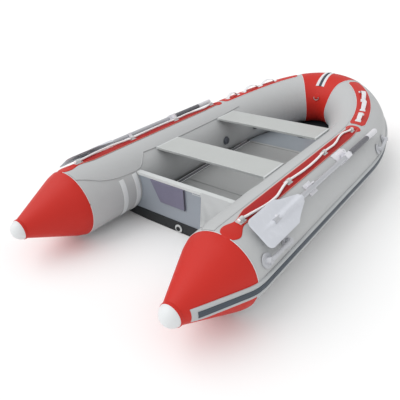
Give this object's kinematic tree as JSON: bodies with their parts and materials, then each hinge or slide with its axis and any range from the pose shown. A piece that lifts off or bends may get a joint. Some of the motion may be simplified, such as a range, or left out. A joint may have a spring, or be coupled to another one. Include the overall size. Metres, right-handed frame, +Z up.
{
  "type": "inflatable dinghy",
  "caption": "Inflatable dinghy with side and bow tubes, cone sterns, transom, hinged oars, sliding benches, boarded floor, grab lines and carry handles.",
  "frame": {"origin": "middle of the overall length and beam, at the ground under the transom and keel", "axes": "+X starboard, +Y towards the bow, +Z up"},
  "size_m": [1.5558, 3.0327, 0.5641],
  "materials": {
    "tube_grey": "satin PVC-coated fabric",
    "fabric_red": "satin PVC-coated fabric",
    "fabric_dark_red": "ribbed PVC strip",
    "fabric_slate": "matte PVC-coated fabric",
    "rubber_light": "satin moulded PVC",
    "rubber_slate": "matte moulded PVC",
    "rubber_grey": "matte moulded PVC",
    "rubber_black": "matte",
    "floor_aluminium": "ribbed",
    "frame_aluminium": "extruded",
    "bench_aluminium": "satin anodised",
    "oar_aluminium": "satin anodised",
    "board_slate": "painted marine ply",
    "plastic_light": "moulded",
    "plastic_dark": "moulded",
    "plastic_pad": "moulded, ribbed",
    "blade_plastic": "moulded",
    "grip_dark": "moulded",
    "cord_white": "braided",
    "webbing_white": "woven",
    "steel": "satin"
  },
  "bodies": {
    "boat": {"chamber_port": "tube_grey", "chamber_starboard": "tube_grey", "chamber_bow": "tube_grey", "cone_port": "fabric_red", "cone_starboard": "fabric_red", "cone_caps": "rubber_light", "rubbing_strake": "rubber_light", "strake_stripe": "rubber_slate", "hull_bottom": "fabric_slate", "keel_tube": "fabric_slate", "floor_board_aft": "floor_aluminium", "floor_board_middle": "floor_aluminium", "floor_board_fore": "floor_aluminium", "floor_board_bow": "board_slate", "floor_joiners": "frame_aluminium", "stringer_port": "frame_aluminium", "stringer_starboard": "frame_aluminium", "transom_board": "board_slate", "transom_cap": "plastic_light", "transom_strip": "rubber_black", "motor_pads": "plastic_pad", "transom_holders": "rubber_light", "drain_flange": "plastic_light", "seat_flap_port": "tube_grey", "seat_flap_starboard": "tube_grey", "transom_gusset": "tube_grey", "grip_strip_port": "fabric_dark_red", "grip_strip_starboard": "fabric_dark_red", "grab_line_port": "cord_white", "grab_line_starboard": "cord_white", "line_eyes": "plastic_light", "forward_patches": "fabric_red", "grip_loops": "webbing_white", "bow_patch": "fabric_red", "bow_strap": "webbing_white", "bow_ring_base": "fabric_red", "carry_handles_aft": "rubber_grey", "carry_handles_bow": "rubber_grey", "rowlock_bases": "plastic_light", "rowlock_pins": "steel", "oar_clips": "plastic_light", "valve_bodies": "plastic_dark", "keel_valve": "plastic_dark"},
    "oar_port": {"collar_port": "plastic_light", "oar_shaft_port": "oar_aluminium", "oar_blade_port": "blade_plastic", "oar_grip_port": "grip_dark"},
    "oar_starboard": {"collar_starboard": "plastic_light", "oar_shaft_starboard": "oar_aluminium", "oar_blade_starboard": "blade_plastic", "oar_grip_starboard": "grip_dark"},
    "aft_bench": {"bench_aft": "bench_aluminium", "bench_ends_aft": "plastic_light"},
    "fore_bench": {"bench_fore": "bench_aluminium", "bench_ends_fore": "plastic_light"},
    "valve_cap_port": {"valve_cap_port": "plastic_dark"},
    "valve_cap_starboard": {"valve_cap_starboard": "plastic_dark"},
    "valve_cap_bow": {"valve_cap_bow": "plastic_dark"},
    "plug": {"drain_plug": "rubber_black"},
    "ring": {"bow_ring": "steel"}
  },
  "joints": [
    {"name": "oar_swing_port", "type": "hinge", "parent": "boat", "child": "oar_port", "pos_m": [-0.64758, -0.03135, 0.42103], "axis": [0.5948, 0, -0.8039], "range_deg": [0, 100]},
    {"name": "oar_swing_starboard", "type": "hinge", "parent": "boat", "child": "oar_starboard", "pos_m": [0.64758, -0.03135, 0.42103], "axis": [0.5948, 0, 0.8039], "range_deg": [0, 100]},
    {"name": "aft_bench_slide", "type": "slide", "parent": "boat", "child": "aft_bench", "axis": [0, 1, 0], "range_m": [-0.1, 0.15]},
    {"name": "fore_bench_slide", "type": "slide", "parent": "boat", "child": "fore_bench", "axis": [0, 1, 0], "range_m": [-0.15, 0]},
    {"name": "valve_cap_port_turn", "type": "hinge", "parent": "boat", "child": "valve_cap_port", "pos_m": [-0.32, 0.19865, 0.232], "axis": [1, 0, 0], "range_deg": [0, 90]},
    {"name": "valve_cap_starboard_turn", "type": "hinge", "parent": "boat", "child": "valve_cap_starboard", "pos_m": [0.32, 0.19865, 0.232], "axis": [-1, 0, 0], "range_deg": [0, 90]},
    {"name": "valve_cap_bow_turn", "type": "hinge", "parent": "boat", "child": "valve_cap_bow", "pos_m": [-0.30768, 0.58578, 0.24455], "axis": [0.9799, -0.1993, 0], "range_deg": [0, 90]},
    {"name": "drain_plug_pull", "type": "slide", "parent": "boat", "child": "plug", "axis": [0, -1, 0], "range_m": [0, 0.03]},
    {"name": "tow_ring_swing", "type": "hinge", "parent": "boat", "child": "ring", "pos_m": [0, 1.07533, 0.40043], "axis": [-1, 0, 0], "range_deg": [0, 150]}
  ]
}
